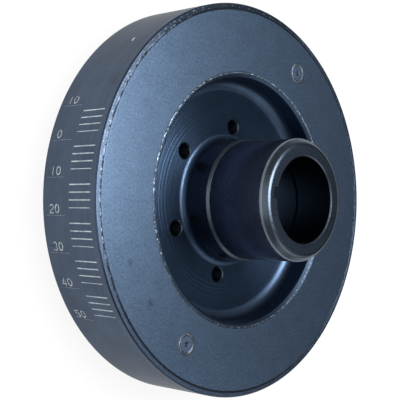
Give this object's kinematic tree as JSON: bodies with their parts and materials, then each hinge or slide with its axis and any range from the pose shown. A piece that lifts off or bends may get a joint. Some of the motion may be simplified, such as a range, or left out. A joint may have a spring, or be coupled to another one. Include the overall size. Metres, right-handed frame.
{
  "type": "harmonic balancer",
  "caption": "Viscous crankshaft damper: turned steel housing with hub and keyed bore, welded cover plate, and a free inertia ring sealed inside. Timing scale on the rim.",
  "frame": {"origin": "centre of the flat front face, on the crankshaft's axis, where the part rests", "axes": "+Z along the crankshaft's axis towards the engine, out of the hub; +X through the middle of the keyway"},
  "size_m": [0.1842, 0.184, 0.07],
  "materials": {
    "black_oxide_steel": "satin",
    "cover_steel": "satin",
    "weld_metal": "matte",
    "plug_steel": "satin",
    "machined_steel": "satin",
    "bearing_bronze": "satin",
    "pad_plastic": "matte"
  },
  "bodies": {
    "housing": {"housing": "black_oxide_steel", "cover_plate": "cover_steel", "outer_weld": "weld_metal", "inner_weld": "weld_metal", "fill_plug_1": "plug_steel", "fill_plug_2": "plug_steel", "plug_weld_1": "weld_metal", "plug_weld_2": "weld_metal"},
    "inertia": {"inertia_ring": "machined_steel", "radial_bearing": "bearing_bronze", "front_thrust_pad_1": "pad_plastic", "front_thrust_pad_2": "pad_plastic", "front_thrust_pad_3": "pad_plastic", "front_thrust_pad_4": "pad_plastic", "front_thrust_pad_5": "pad_plastic", "front_thrust_pad_6": "pad_plastic", "rear_thrust_pad_1": "pad_plastic", "rear_thrust_pad_2": "pad_plastic", "rear_thrust_pad_3": "pad_plastic", "rear_thrust_pad_4": "pad_plastic", "rear_thrust_pad_5": "pad_plastic", "rear_thrust_pad_6": "pad_plastic"}
  },
  "joints": [
    {"name": "inertia_spin", "type": "hinge", "parent": "housing", "child": "inertia", "pos_m": [0, 0, 0.018], "axis": [0, 0, 1], "continuous": true}
  ]
}
